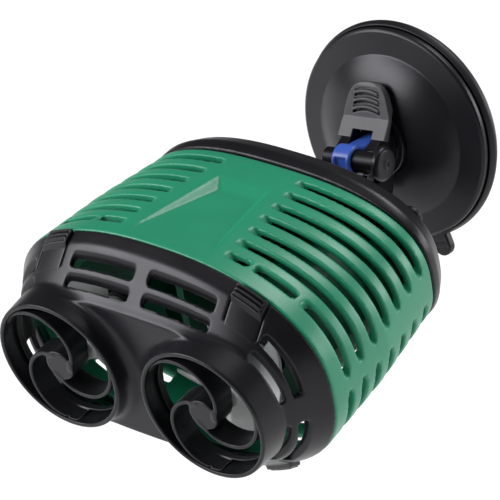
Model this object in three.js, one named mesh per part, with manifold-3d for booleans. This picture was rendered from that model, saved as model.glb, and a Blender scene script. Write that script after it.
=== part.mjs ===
// Twin-outlet wave maker pump on a vacuum suction cup.
// Millimetres, +Z up. The origin is the centre of the suction face, which lies in the XZ plane;
// +Y points into the glass, so the pump hangs on the -Y side.
// The pump itself is modelled in a frame of its own: Y = 0 is the plane of the two outlet rims,
// +Y runs back along the body, and the outlets sit at X = -OUTLET_X and X = +OUTLET_X.
import * as THREE from "three";
import { mergeVertices } from "three/addons/utils/BufferGeometryUtils.js";
import Module from "manifold-3d";

const wasm = await Module();
wasm.setup();

// ---------------------------------------------------------------- driving dimensions
const DEGREE = Math.PI / 180;
const GAP = 0.3; // clearance between pieces that meet

// Where the pump hangs from the glass
const PUMP_ORIGIN = [0, -133, -32.3];
const PUMP_PITCH = 13.7 * DEGREE; // nose down
const CUP_TWIST = 7.7 * DEGREE; // the cup has been stuck on slightly turned

// Body sections, front to back: [Y, half width, half height, superellipse power]
const PLATE_EDGE = [6.4, 43.6, 21.9, 2.9];
const BASE_EDGE = [8.4, 45.3, 23.5, 2.8];
const CREASE = [17.8, 51.4, 33.8, 2.45];
const BAND_END = [21.9, 54.7, 35.8, 2.32];
const SHELL_FRONT = [22.3, 54.7, 35.8, 2.32];
const SHELL_MIDDLE = [49.5, 53.6, 30.7, 2.45];
const SHELL_REAR = [76.9, 49.8, 25.7, 2.6];
const REAR_LIP = [77.3, 49.9, 26.2, 2.55];
const REAR_CROWN = [80.5, 49.6, 27.2, 2.5];
const REAR_SHOULDER = [85.5, 46.8, 25.2, 2.5];
const REAR_FACE = [88.3, 42, 20.8, 2.5];
const WALL = 2.6;
const PLATE = 2;
const SEGMENTS = 32;
const SEGMENT_ANGLE = (2 * Math.PI) / SEGMENTS;
const CUT_OUT = 3; // how far a slot's cutter reaches outside the body
const CUT_IN = 6; // and inside it
const CLEAR = 45; // beyond the outside of the body everywhere

// Front cover slots: [Y, width], the top ones between two X and the side ones between two angles
const FRONT_SLOTS = [[14.7, 2.6], [10.5, 2.2]];
const FRONT_SLOT_X = [3, 25];
const FRONT_SLOT_ANGLES = [6 * DEGREE, 41 * DEGREE];

// Outlets
const OUTLET_X = 25.5;
const OUTLET_R = 21;
const OUTLET_FLARE = 0.7;
const OUTLET_WALL = 1.4;
const VANE_COUNT = 3;
const VANE_SWEEP = 155 * DEGREE;
const VANE_END_ANGLE = 35 * DEGREE;
const VANE_THICKNESS = 1.3;
const VANE_DEPTH = 7.5;
const HUB_R = 4.8;
const HUB_FRONT = 0.5;
const HUB_REAR = 8;
const BUSH_POCKET = { r: 3.2, y: 3.4 };

// Intake slots: rows along the shell, each running round it
const SLOT_ROWS = 7;
const SLOT_FIRST_Y = 30;
const SLOT_PITCH = 7;
const SLOT_WIDTH = 3.1;
const SLOT_INNER_X = 18.6;
const SLOT_INNER_STEP = 0.95; // how far each row reaches in beyond the one in front of it
const SIDE_BAND = 3.2; // half height of the plain band along each side
// Two bars break up the first row, each between two angles
const FIRST_ROW_BARS = [[41 * DEGREE, 44 * DEGREE], [62 * DEGREE, 65 * DEGREE]];
const RECESS = { y0: 25, y1: 63, half0: 13, half1: 9.5, depth: 1.7 };

// Front cover latches
const LATCH_X = 33.7;
const LATCH_WIDTH = 9.4;
const LATCH_FRONT_Y = 12;
const LATCH_INNER_Z = 18;
const LATCH_SHORT = 0.5; // how far its rear edge stays in front of the cover's
const LATCH_RIBS = 3;
const LATCH_RIB_PITCH = 1.1;
const LATCH_RIB_R = 0.55;

// Rear cover, motor plate and the screws that join them
const REAR_SCREW_X = 36;
const REAR_SCREW_Z = 10;
const REAR_SCREW_R = 1.4;
const REAR_HEAD_R = 3.2;
const SCREW_HOLE_R = 2.1;
const MOTOR_PLATE_Y = [64, 66.4];
const BOSS_R = 3.4;
const BOSS_END = 78;
const PILOT_R = 1.7;
const WEB = { half: 1.2, front: 28, halfHeight: 19 }; // stands between the two motors
const GLAND = { x: -22, z: -6, r: 4.5, flange: 6, bore: 2.6, y0: 83, y1: 84.2, end: 97, endR: 4.2 };

// Motors, one behind each outlet
const CAN_FRONT = 30;
const CAN_REAR = 63.6;
const CAN_R = 17;
const CAN_WALL = 1.6;
const WELL_R = 6.6;
const WELL_WALL = 1;
const WELL_END = 58;
const SHAFT_R = 1.5;
const SHAFT_FRONT = 5;
const SHAFT_REAR = 56;
const MAGNET_R = 5.6;
const BLADES = 4;
const BLADE_TIP_R = 17.4;
const BLADE_FRONT = 11.5;
const BLADE_REAR = 24;

// Suction cup
const PAD_R = 34;
const PAD_LIP = 4.6;
const TAB_HALF = 3.1;
const TAB_END = 37.2; // middle of the tab's round end, below the cup's axis
const TAB_TURN = 17.3; // degrees round the cup, away from the lever's foot
const COVER_R = 32.7;
const COVER_RIM_Y = -7.5;
const DOME_R = 25.3;
const DOME_Y = -8.6;
const RING_SEAT_Y = -12.2;
const RING_R = 10.2;
const RING_FRONT_Y = -16.6;
const NECK_R = 7.6;
const NECK_Y = -17.2;
const LEVER_AXLE_Y = -29.5;
const PIN_R = 3;
const CAP_R = 5.1;
const STEM_HALF = 3.2;
const STEM_EYE_R = 4.4;
const LEVER_HALF = 8.5;
const LEG_OUTER = 7.2;
const LEG_INNER = 3.5;
const GRIP_Z = [11.6, 13.8, 16];

// Tilt hinge between the swivel ring and the pump's arm
const TILT_Y = -25;
const TILT_Z = -14.6;
const TILT_EYE_R = 4.6;
const TILT_PIN_R = 1.6;
const ARM_SCREW_X = 8.5;
const ARM_SCREW_Z = 3;
const ARM_SCREW_R = 1.4;
const ARM_HEAD_R = 2.8;
const ARM_HALF = 3.1;
const FLANGE_R = 12.5;
const FLANGE = 2.6;
const EAR_OUT = 6.2;
const PIN_CLEARANCE = 0.15;

// ---------------------------------------------------------------- materials
const plastic = (color, roughness) => new THREE.MeshStandardMaterial({ color, roughness, metalness: 0 });
const metal = (color, roughness) => new THREE.MeshStandardMaterial({ color, roughness, metalness: 1 });
const BLACK = plastic(0x2b2b30, 0.45);
const GREY = plastic(0x4a4a50, 0.5);
const GREEN = plastic(0x2a9670, 0.42);
const WHITE = plastic(0xe9ecec, 0.5);
const BLUE = plastic(0x2f55c4, 0.4);
const RUBBER = plastic(0x1b1b1e, 0.8);
const RESIN = plastic(0x121214, 0.3);
const STEEL = metal(0xb9bbbe, 0.3);
const COPPER = metal(0xb56a3a, 0.4);
const IRON = metal(0x6d6f73, 0.55);
const FERRITE = plastic(0x3a3a3c, 0.6);
const CERAMIC = plastic(0xf1eee6, 0.3);

// ---------------------------------------------------------------- solids
function signedVolume(positions, triangles) {
  const [a, b, c] = [new THREE.Vector3(), new THREE.Vector3(), new THREE.Vector3()];
  let volume = 0;
  for (let i = 0; i < triangles.length; i += 3) {
    a.fromArray(positions, triangles[i] * 3);
    b.fromArray(positions, triangles[i + 1] * 3);
    c.fromArray(positions, triangles[i + 2] * 3);
    volume += a.dot(b.cross(c)) / 6;
  }
  return volume;
}

// A three.js geometry as a manifold solid with its faces pointing out
function solid(geometry) {
  const bare = geometry.clone();
  bare.deleteAttribute("normal");
  bare.deleteAttribute("uv");
  const merged = mergeVertices(bare, 1e-4);
  const positions = merged.attributes.position.array;
  const corners = Array.from(merged.index.array);
  const triangles = [];
  for (let i = 0; i < corners.length; i += 3) {
    const [a, b, c] = corners.slice(i, i + 3);
    if (a !== b && b !== c && c !== a) triangles.push(a, b, c);
  }
  if (signedVolume(positions, triangles) < 0) triangles.reverse();
  const vertProperties = new Float32Array(positions);
  const triVerts = new Uint32Array(triangles);
  return new wasm.Manifold(new wasm.Mesh({ numProp: 3, vertProperties, triVerts }));
}

function geometryOf(manifold) {
  const mesh = manifold.getMesh();
  const geometry = new THREE.BufferGeometry();
  geometry.setAttribute("position", new THREE.BufferAttribute(new Float32Array(mesh.vertProperties), 3));
  geometry.setIndex(new THREE.BufferAttribute(new Uint32Array(mesh.triVerts), 1));
  return geometry;
}

const union = (...pieces) => pieces.reduce((sum, piece) => sum.add(piece));
const cut = (body, ...tools) => tools.reduce((rest, tool) => rest.subtract(tool), body);

function box(x0, x1, y0, y1, z0, z1) {
  const geometry = new THREE.BoxGeometry(x1 - x0, y1 - y0, z1 - z0);
  return solid(geometry.translate((x0 + x1) / 2, (y0 + y1) / 2, (z0 + z1) / 2));
}

// A profile of [radius, Y] points turned about the Y axis, then moved sideways
function turned(profile, segments = 32, x = 0, z = 0) {
  const points = profile.map(([r, y]) => new THREE.Vector2(r, y));
  const [first, last] = [points[0], points[points.length - 1]];
  if (first.x > 0 || last.x > 0) points.push(first.clone());
  return solid(new THREE.LatheGeometry(points, segments).translate(x, 0, z));
}

const disc = (r, y0, y1, segments, x, z) => turned([[0, y0], [r, y0], [r, y1], [0, y1]], segments, x, z);

const tube = (r0, r1, y0, y1, segments, x, z) =>
  turned([[r0, y0], [r1, y0], [r1, y1], [r0, y1]], segments, x, z);

// A rod along X
function rod(r, x0, x1, y, z, segments = 20) {
  const geometry = new THREE.CylinderGeometry(r, r, x1 - x0, segments).rotateZ(Math.PI / 2);
  return solid(geometry.translate((x0 + x1) / 2, y, z));
}

// An outline in (Y, Z), extruded along X
function sideProfile(outline, x0, x1) {
  const shape = new THREE.Shape(outline.map(([y, z]) => new THREE.Vector2(y, z)));
  const geometry = new THREE.ExtrudeGeometry(shape, { depth: x1 - x0, bevelEnabled: false, steps: 1 });
  geometry.applyMatrix4(new THREE.Matrix4().set(0, 0, 1, x0, 1, 0, 0, 0, 0, 1, 0, 0, 0, 0, 0, 1));
  return solid(geometry);
}

// ---------------------------------------------------------------- body sections
const signedPower = (value, power) => Math.sign(value) * Math.abs(value) ** power;

function sectionPoint([y, halfWidth, halfHeight, power], angle, offset = 0) {
  const x = (halfWidth + offset) * signedPower(Math.cos(angle), 2 / power);
  const z = (halfHeight + offset) * signedPower(Math.sin(angle), 2 / power);
  return [x, y, z];
}

const inset = ([y, w, h, n], wall, shift = 0) => [y + shift, w - wall, h - wall, n];

// A solid through the given sections, made by bending a cylinder
function loft(...sections) {
  const count = sections.length - 1;
  const geometry = new THREE.CylinderGeometry(1, 1, count, SEGMENTS, count);
  const position = geometry.attributes.position;
  for (let i = 0; i < position.count; i++) {
    const section = sections[Math.round(position.getY(i) + count / 2)];
    const onRim = Math.hypot(position.getX(i), position.getZ(i)) > 0.5;
    const angle = Math.atan2(position.getZ(i), position.getX(i));
    position.setXYZ(i, ...(onRim ? sectionPoint(section, angle) : [0, section[0], 0]));
  }
  return solid(geometry);
}

// The section between two others at a given Y
function sectionAt(y, ...sections) {
  const after = Math.max(1, sections.findIndex((section) => section[0] >= y));
  const [a, b] = [sections[after - 1], sections[after]];
  const t = (y - a[0]) / (b[0] - a[0]);
  return a.map((value, i) => value + (b[i] - value) * t);
}

const FRONT_SECTIONS = [PLATE_EDGE, BASE_EDGE, CREASE, BAND_END];
const SHELL_SECTIONS = [SHELL_FRONT, SHELL_MIDDLE, SHELL_REAR];

// The angle at which a section reaches a given X on its upper side, or a given Z on its right
const angleAtX = (section, x) => Math.acos(signedPower(x / section[1], section[3] / 2));
const angleAtZ = (section, z) => Math.asin(signedPower(z / section[2], section[3] / 2));

// A cutter for one slot that follows the body from one angle to another.
// Its columns fall on the body's own segments.
function slotCutter(sections, y, width, from, to) {
  const inner = [];
  for (let k = Math.ceil((from + DEGREE) / SEGMENT_ANGLE); k * SEGMENT_ANGLE < to - DEGREE; k++) {
    inner.push(k * SEGMENT_ANGLE);
  }
  const columns = [from, ...inner, to];
  const last = columns.length - 1;
  const geometry = new THREE.BoxGeometry(last, 1, 1, last, 1, 1);
  const position = geometry.attributes.position;
  for (let i = 0; i < position.count; i++) {
    const column = Math.round(position.getX(i) + last / 2);
    const v = y + position.getY(i) * width;
    const offset = position.getZ(i) > 0 ? CUT_OUT : -CUT_IN;
    position.setXYZ(i, ...sectionPoint(sectionAt(v, ...sections), columns[column], offset));
  }
  return solid(geometry);
}

// The same cutter in all four quarters of the body
function inFourQuarters(from, to) {
  return [[from, to], [Math.PI - to, Math.PI - from], [-to, -from], [from - Math.PI, to - Math.PI]];
}

// ---------------------------------------------------------------- front cover and outlets
function outletTube(side, inner) {
  const r = inner ? OUTLET_R - OUTLET_WALL : OUTLET_R;
  const [front, rear] = inner ? [-1, 12] : [0, PLATE_EDGE[0] + PLATE];
  return turned([[0, front], [r, front], [r + OUTLET_FLARE, rear], [0, rear]], 36, side * OUTLET_X);
}

function frontSlots() {
  const cutters = [];
  for (const [y, width] of FRONT_SLOTS) {
    const section = sectionAt(y, ...FRONT_SECTIONS);
    const [inner, outer] = FRONT_SLOT_X.map((x) => angleAtX(section, x));
    const spans = [[outer, inner], FRONT_SLOT_ANGLES];
    for (const [from, to] of spans) {
      for (const quarter of inFourQuarters(from, to)) {
        cutters.push(slotCutter(FRONT_SECTIONS, y, width, ...quarter));
      }
    }
  }
  return cutters;
}

const frontBlank = () => cut(
  loft(...FRONT_SECTIONS),
  loft(inset(BASE_EDGE, PLATE), inset(CREASE, WALL), inset([CREASE[0] + 1, ...BAND_END.slice(1)], WALL + 1),
    inset([BAND_END[0] + 1, ...BAND_END.slice(1)], WALL)),
);

// The block that bounds a latch, or with a margin the window that it sits in
function latchBox(side, up, margin) {
  const [x0, x1] = [LATCH_X - LATCH_WIDTH / 2 - margin, LATCH_X + LATCH_WIDTH / 2 + margin];
  const [z0, z1] = [LATCH_INNER_Z - 3 * margin, CLEAR];
  const rear = margin > 0 ? BAND_END[0] + 1 : BAND_END[0] - LATCH_SHORT;
  return box(...(side > 0 ? [x0, x1] : [-x1, -x0]), LATCH_FRONT_Y - margin, rear,
    ...(up > 0 ? [z0, z1] : [-z1, -z0]));
}

const CORNERS = [
  [-1, 1, "top_left"],
  [1, 1, "top_right"],
  [-1, -1, "bottom_left"],
  [1, -1, "bottom_right"],
];

function frontCover() {
  const outlets = [-1, 1].map((side) => outletTube(side, false));
  const bores = [-1, 1].map((side) => outletTube(side, true));
  const windows = CORNERS.map(([side, up]) => latchBox(side, up, GAP));
  return cut(union(frontBlank(), ...outlets), ...bores, ...frontSlots(), ...windows);
}

function latch(side, up) {
  const plate = frontBlank().intersect(latchBox(side, up, 0));
  const ribs = Array.from({ length: LATCH_RIBS }, (_, k) => {
    const y = CREASE[0] + LATCH_RIB_R + k * LATCH_RIB_PITCH;
    const [, , z] = sectionPoint(sectionAt(y, ...FRONT_SECTIONS), angleAtX(BAND_END, LATCH_X));
    const half = LATCH_WIDTH / 2 - LATCH_RIB_R;
    return rod(LATCH_RIB_R, side * LATCH_X - half, side * LATCH_X + half, y, up * z, 8);
  });
  return plate.add(union(...ribs).intersect(latchBox(side, up, 0)));
}

// Three vanes that spiral from the rim in to a flat hub
function outletGuard(side) {
  const rim = OUTLET_R - OUTLET_WALL - GAP;
  const start = HUB_R - VANE_THICKNESS / 2;
  const reach = rim - VANE_THICKNESS / 2 - start;
  const steps = 9;
  const vane = (turn) => {
    const sides = [1, -1].map((edge) => Array.from({ length: steps + 1 }, (_, k) => {
      const u = k / steps;
      const angle = turn + VANE_END_ANGLE - VANE_SWEEP * (1 - u);
      const middle = start + (reach * (1 - Math.cos(Math.PI * u))) / 2;
      const r = middle + (edge * VANE_THICKNESS) / 2;
      return new THREE.Vector2(r * Math.cos(angle), r * Math.sin(angle));
    }));
    const shape = new THREE.Shape([...sides[0], ...sides[1].reverse()]);
    const geometry = new THREE.ExtrudeGeometry(shape, { depth: VANE_DEPTH, bevelEnabled: false, steps: 1 });
    return solid(geometry.rotateX(Math.PI / 2).translate(0, HUB_FRONT + VANE_DEPTH, 0));
  };
  const vanes = Array.from({ length: VANE_COUNT }, (_, k) => vane((k * 2 * Math.PI) / VANE_COUNT));
  const pocket = disc(BUSH_POCKET.r, BUSH_POCKET.y, HUB_REAR + 1, 16);
  const hub = cut(disc(HUB_R, HUB_FRONT, HUB_REAR, 18), pocket);
  const ring = tube(rim - 1.1, rim, HUB_FRONT + 1, HUB_FRONT + VANE_DEPTH, 32);
  return union(hub, ring, ...vanes).translate([side * OUTLET_X, 0, 0]);
}

// ---------------------------------------------------------------- green shell
function shellSlots() {
  const cutters = [];
  for (let row = 0; row < SLOT_ROWS; row++) {
    const y = SLOT_FIRST_Y + row * SLOT_PITCH;
    const section = sectionAt(y, ...SHELL_SECTIONS);
    const low = angleAtZ(section, SIDE_BAND);
    const high = angleAtX(section, SLOT_INNER_X - row * SLOT_INNER_STEP);
    const edges = [low, ...(row > 0 ? [] : FIRST_ROW_BARS.flat()), high];
    for (let k = 0; k < edges.length; k += 2) {
      const [from, to] = [edges[k], edges[k + 1]];
      for (const quarter of inFourQuarters(from, to)) {
        cutters.push(slotCutter(SHELL_SECTIONS, y, SLOT_WIDTH, ...quarter));
      }
    }
  }
  return cutters;
}

// A shallow trapezoid sunk into the top of the shell, deepest at its rear end
function recessCutter() {
  const { y0, y1, half0, half1, depth } = RECESS;
  const corners = [[-half0, y0], [half0, y0], [half1, y1], [-half1, y1]];
  const shape = new THREE.Shape(corners.map(([x, y]) => new THREE.Vector2(x, y)));
  const prism = new THREE.ExtrudeGeometry(shape, { depth: 20, bevelEnabled: false, steps: 1 });
  const position = prism.attributes.position;
  for (let i = 0; i < position.count; i++) {
    const y = position.getY(i);
    const surface = sectionAt(y, ...SHELL_SECTIONS)[2];
    const floor = surface - (depth * (y - y0)) / (y1 - y0);
    position.setZ(i, position.getZ(i) > 1 ? surface + 5 : floor);
  }
  return solid(prism);
}

function greenShell() {
  const inside = [SHELL_FRONT, SHELL_MIDDLE, SHELL_REAR].map((section) => inset(section, WALL));
  inside[0][0] -= 1;
  inside[2][0] += 1;
  return cut(loft(...SHELL_SECTIONS), loft(...inside), ...shellSlots(), recessCutter());
}

// ---------------------------------------------------------------- rear cover and motor plate
// The same disc at each of the four screws
const atScrews = (r, y0, y1) =>
  CORNERS.map(([side, up]) => disc(r, y0, y1, 12, side * REAR_SCREW_X, up * REAR_SCREW_Z));

function rearCover() {
  const outside = loft(REAR_LIP, REAR_CROWN, REAR_SHOULDER, REAR_FACE);
  const lip = [REAR_LIP[0] - 1, ...REAR_LIP.slice(1)];
  const inside = loft(inset(lip, WALL), inset(REAR_CROWN, WALL), inset(REAR_SHOULDER, WALL, -1));
  const [y0, y1] = [REAR_CROWN[0], REAR_FACE[0] + 1];
  const glandHole = disc(GLAND.r, y0, y1, 16, GLAND.x, GLAND.z);
  return cut(outside, inside, ...atScrews(SCREW_HOLE_R, y0, y1), glandHole);
}

function rearScrew(side, up) {
  const [tip, seat, top] = [MOTOR_PLATE_Y[1] + 0.8, REAR_FACE[0] + GAP, REAR_FACE[0] + 2];
  const profile = [[0, tip], [REAR_SCREW_R, tip], [REAR_SCREW_R, seat], [REAR_HEAD_R, seat],
    [REAR_HEAD_R, top], [0, top]];
  return turned(profile, 12, side * REAR_SCREW_X, up * REAR_SCREW_Z);
}

function motorPlate() {
  const [front, rear] = MOTOR_PLATE_Y;
  const [, halfWidth, halfHeight, power] = inset(sectionAt(65, ...SHELL_SECTIONS), WALL + GAP);
  const plate = loft([front, halfWidth, halfHeight, power], [rear, halfWidth - 0.3, halfHeight, power]);
  const bosses = atScrews(BOSS_R, rear - 0.4, BOSS_END);
  const pilots = atScrews(PILOT_R, rear + 0.5, BOSS_END + 1);
  const leadHoles = [-1, 1].map((side) => disc(4, front - 1, rear + 1, 12, side * OUTLET_X));
  const web = box(-WEB.half, WEB.half, WEB.front, front + 0.5, -WEB.halfHeight, WEB.halfHeight);
  return cut(union(plate, web, ...bosses), ...pilots, ...leadHoles);
}

function cableGland() {
  const { r, flange, bore, y0, y1, end, endR } = GLAND;
  const [neck, seat] = [r - GAP, REAR_FACE[0] + GAP];
  const profile = [[0, y0], [flange, y0], [flange, y1], [neck, y1], [neck, seat], [flange, seat],
    [flange, REAR_FACE[0] + 2], [endR, end], [0, end]];
  const body = turned(profile, 16, GLAND.x, GLAND.z);
  return cut(body, disc(bore, y0 - 1, end + 1, 16, GLAND.x, GLAND.z));
}

// ---------------------------------------------------------------- motors
function motorCan(side) {
  const [inner, front] = [CAN_R - CAN_WALL, CAN_FRONT + CAN_WALL];
  const [well, bottom] = [WELL_R + WELL_WALL, WELL_END + WELL_WALL];
  const profile = [[WELL_R, CAN_FRONT], [CAN_R, CAN_FRONT], [CAN_R, CAN_REAR], [inner, CAN_REAR],
    [inner, front], [well, front], [well, bottom], [0, bottom], [0, WELL_END], [WELL_R, WELL_END]];
  const points = profile.map(([r, y]) => new THREE.Vector2(r, y));
  points.push(points[0].clone());
  return solid(new THREE.LatheGeometry(points, 24).translate(side * OUTLET_X, 0, 0));
}

const STATOR = { y0: 34, y1: 53, inner: WELL_R + WELL_WALL + GAP, outer: CAN_R - CAN_WALL - GAP };

// A laminated ring with two poles that reach in to the rotor well
function statorCore(side) {
  const ring = tube(STATOR.outer - 2.4, STATOR.outer, STATOR.y0, STATOR.y1, 24);
  const poles = cut(
    box(-3, 3, STATOR.y0, STATOR.y1, -STATOR.outer + 1, STATOR.outer - 1),
    disc(STATOR.inner, STATOR.y0 - 1, STATOR.y1 + 1, 24),
  );
  return union(ring, poles).translate([side * OUTLET_X, 0, 0]);
}

// A winding round one pole
function coil(side, up) {
  const inner = { x: 3 + GAP, y0: STATOR.y0 - GAP, y1: STATOR.y1 + GAP };
  const outer = { x: 6, y0: STATOR.y0 - 2, y1: STATOR.y1 + 2 };
  const [z0, z1] = [STATOR.inner + 0.6, STATOR.outer - 2.4 - 1.7];
  const winding = cut(
    box(-outer.x, outer.x, outer.y0, outer.y1, z0, z1),
    box(-inner.x, inner.x, inner.y0, inner.y1, z0 - 1, z1 + 1),
  );
  return winding.rotate([0, up > 0 ? 0 : 180, 0]).translate([side * OUTLET_X, 0, 0]);
}

const potting = (side) =>
  disc(CAN_R - CAN_WALL - GAP, WELL_END + WELL_WALL + GAP, CAN_REAR, 24, side * OUTLET_X, 0);

const shaft = (side) => disc(SHAFT_R, SHAFT_FRONT, SHAFT_REAR, 16, side * OUTLET_X, 0);

function bush(side, y0, y1, blindEnd, r) {
  const bore = SHAFT_R + 0.15;
  const [open, closed] = blindEnd > 0 ? [y0 - 1, y1 - 1] : [y0 + 1, y1 + 1];
  const body = disc(r, y0, y1, 16, side * OUTLET_X, 0);
  return cut(body, disc(bore, Math.min(open, closed), Math.max(open, closed), 16, side * OUTLET_X, 0));
}

const frontBush = (side) => bush(side, 3.7, 7.6, -1, 2.9);
const rearBush = (side) => bush(side, 54.4, 57.7, 1, WELL_R - GAP);

const rotorMagnet = (side) => tube(SHAFT_R + 0.5, MAGNET_R, 29, 52, 20, side * OUTLET_X, 0);

// A hub with four pitched blades
function impeller(side) {
  const hub = tube(SHAFT_R + 0.5, 5, 10.5, 28.6, 20);
  const blade = (turn) => {
    const geometry = new THREE.BoxGeometry(1, 1, 1, 2, 3, 1);
    const position = geometry.attributes.position;
    for (let i = 0; i < position.count; i++) {
      const r = 4.4 + (BLADE_TIP_R - 4.4) * (position.getX(i) + 0.5);
      const along = position.getY(i);
      const angle = turn - side * (along * 62 * DEGREE + (position.getZ(i) * 1.5) / r);
      const y = (BLADE_FRONT + BLADE_REAR) / 2 - along * (BLADE_REAR - BLADE_FRONT);
      position.setXYZ(i, r * Math.cos(angle), y, r * Math.sin(angle));
    }
    return solid(geometry);
  };
  const blades = Array.from({ length: BLADES }, (_, k) => blade((k * 2 * Math.PI) / BLADES + 0.4));
  const bore = disc(SHAFT_R + 0.5, 9, 30, 20);
  return cut(union(hub, ...blades), bore).translate([side * OUTLET_X, 0, 0]);
}

// ---------------------------------------------------------------- arm
// The hinge point in the pump's own frame
function tiltInPump() {
  const offset = new THREE.Vector3(0, TILT_Y, TILT_Z).sub(new THREE.Vector3(...PUMP_ORIGIN));
  offset.applyAxisAngle(new THREE.Vector3(1, 0, 0), -PUMP_PITCH);
  return [offset.y, offset.z];
}

const ARM_Y = REAR_FACE[0] + GAP;

function mountArm() {
  const [y, z] = tiltInPump();
  const flange = disc(FLANGE_R, ARM_Y, ARM_Y + FLANGE, 28, 0, 0);
  const root = turned([[0, ARM_Y + 2], [7.5, ARM_Y + 2], [5, ARM_Y + 8], [0, ARM_Y + 8]], 24, 0, z / 2);
  const neck = sideProfile([[ARM_Y + 1, -9.5], [ARM_Y + 1, 4], [ARM_Y + 9, 0.5], [y, z + TILT_EYE_R],
    [y, z - TILT_EYE_R]], -ARM_HALF, ARM_HALF);
  const eye = rod(TILT_EYE_R, -ARM_HALF, ARM_HALF, y, z);
  const screwHoles = [-1, 1].map((side) =>
    disc(ARM_SCREW_R + 0.5, ARM_Y - 1, ARM_Y + FLANGE + 1.4, 16, side * ARM_SCREW_X, ARM_SCREW_Z));
  return cut(union(flange, root, neck, eye), rod(TILT_PIN_R + PIN_CLEARANCE, -9, 9, y, z), ...screwHoles);
}

function armScrew(side) {
  const [tip, seat, top] = [ARM_Y + GAP, ARM_Y + FLANGE + GAP, ARM_Y + FLANGE + GAP + 1.7];
  const profile = [[0, tip], [ARM_SCREW_R, tip], [ARM_SCREW_R, seat], [ARM_HEAD_R, seat], [ARM_HEAD_R, top],
    [0, top]];
  return turned(profile, 12, side * ARM_SCREW_X, ARM_SCREW_Z);
}

// ---------------------------------------------------------------- suction cup
function suctionPad() {
  const rim = [[PAD_R - 2, 0], [PAD_R - 1.4, -0.3], [PAD_R, -2.5], [PAD_R, -PAD_LIP + 1.2],
    [PAD_R - 0.5, -PAD_LIP], [COVER_R + 0.4, -PAD_LIP - 0.4], [COVER_R - 1, -3.4]];
  const boss = [[12, -3.4], [9.5, -6.8], [6.8, -6.8], [6.8, -1.2]];
  const pad = turned([[0, 0], ...rim, ...boss, [0, -1.2]], 32);
  const tab = union(
    box(-TAB_HALF, TAB_HALF, -4.4, -1.6, -TAB_END, 1.2 - PAD_R),
    disc(TAB_HALF, -4.4, -1.6, 16, 0, -TAB_END),
  );
  return pad.add(tab.rotate([0, -TAB_TURN, 0]));
}

function cupCover() {
  const seat = RING_R + GAP;
  const neck = [[0, NECK_Y], [NECK_R, NECK_Y], [NECK_R, RING_SEAT_Y], [seat, RING_SEAT_Y]];
  const dome = [[seat, -14.8], [13, -14.3], [17, -13.2], [21, -11.4], [24, -9.4], [DOME_R, DOME_Y]];
  const rim = [[COVER_R - 0.8, COVER_RIM_Y], [COVER_R, COVER_RIM_Y + 0.6]];
  const inside = [[COVER_R, -5.3], [COVER_R - 1, -3.7], [DOME_R - 1, -3.7], [23, -7.2], [20, -9.2],
    [16, -10.2], [7, -10.2], [6.2, -15.4], [0, -15.4]];
  const body = turned([...neck, ...dome, ...rim, ...inside], 32);
  return cut(body, box(-STEM_HALF - 0.5, STEM_HALF + 0.5, -20, -14, -3.4, 3.4));
}

// The blue stem that pulls the middle of the pad away from the glass
function stem() {
  const foot = disc(6, -6.2, -4.6, 20);
  const post = turned([[0, -6], [5, -6], [3, -8], [3, -14.2], [0, -14.2]], 20);
  const strap = box(-STEM_HALF, STEM_HALF, LEVER_AXLE_Y, -13.6, -2.9, 2.9);
  const eye = rod(STEM_EYE_R, -STEM_HALF, STEM_HALF, LEVER_AXLE_Y, 0, 28);
  return cut(union(foot, post, strap, eye), rod(PIN_R + PIN_CLEARANCE, -9, 9, LEVER_AXLE_Y, 0));
}

const leverPin = () => rod(PIN_R, -LEG_OUTER - 0.7, 11.6, LEVER_AXLE_Y, 0);

function leverPinCap() {
  const profile = [[0, 0], [CAP_R, 0], [CAP_R, 1.4], [CAP_R - 0.6, 2], [2.4, 2], [2, 1.5], [0, 1.5]];
  const geometry = new THREE.LatheGeometry(profile.map(([r, y]) => new THREE.Vector2(r, y)), 24);
  return solid(geometry.rotateZ(-Math.PI / 2).translate(11.9, LEVER_AXLE_Y, 0));
}

// Handle plate with two legs; each leg is the cam that bears on the cover's neck
function lever() {
  const handle = sideProfile([[-22.8, 4.1], [-19, 9.3], [-16.9, 18.5], [-16.2, 19.6], [-14.6, 19.1],
    [-15.7, 11.4], [-17.4, 9.2], [-20.7, 3.2]], -LEVER_HALF, LEVER_HALF);
  const leg = (x0, x1) => sideProfile([[-22.8, 4.1], [-20.4, 6.6], [-17.5, 6.3], [-17.5, 0], [-25.2, -4.2],
    [-29.5, -4.6], [-32.6, -3.4], [-31, -1.4], [-27, -1.2], [-26.4, 2]], x0, x1);
  const body = union(handle, leg(-LEG_OUTER, -LEG_INNER), leg(LEG_INNER, LEG_OUTER));
  const notch = box(0.1 - LEG_INNER, LEG_INNER - 0.1, -24, -16.9, 3, 6.2);
  const grips = GRIP_Z.map((z) => {
    const y = -19 + ((z - 9.3) * 2.1) / 9.2;
    return rod(0.5, -5, 5, y, z, 8);
  });
  const corners = [-1, 1].map((side) => box(...(side > 0 ? [6.6, 9] : [-9, -6.6]), -24, -12, 16.6, 21));
  return cut(union(body, ...grips), notch, rod(PIN_R + 0.2, -9, 9, LEVER_AXLE_Y, 0), ...corners);
}

// ---------------------------------------------------------------- swivel ring and tilt hinge
const EAR = { x0: ARM_HALF + GAP, x1: EAR_OUT };

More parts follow.
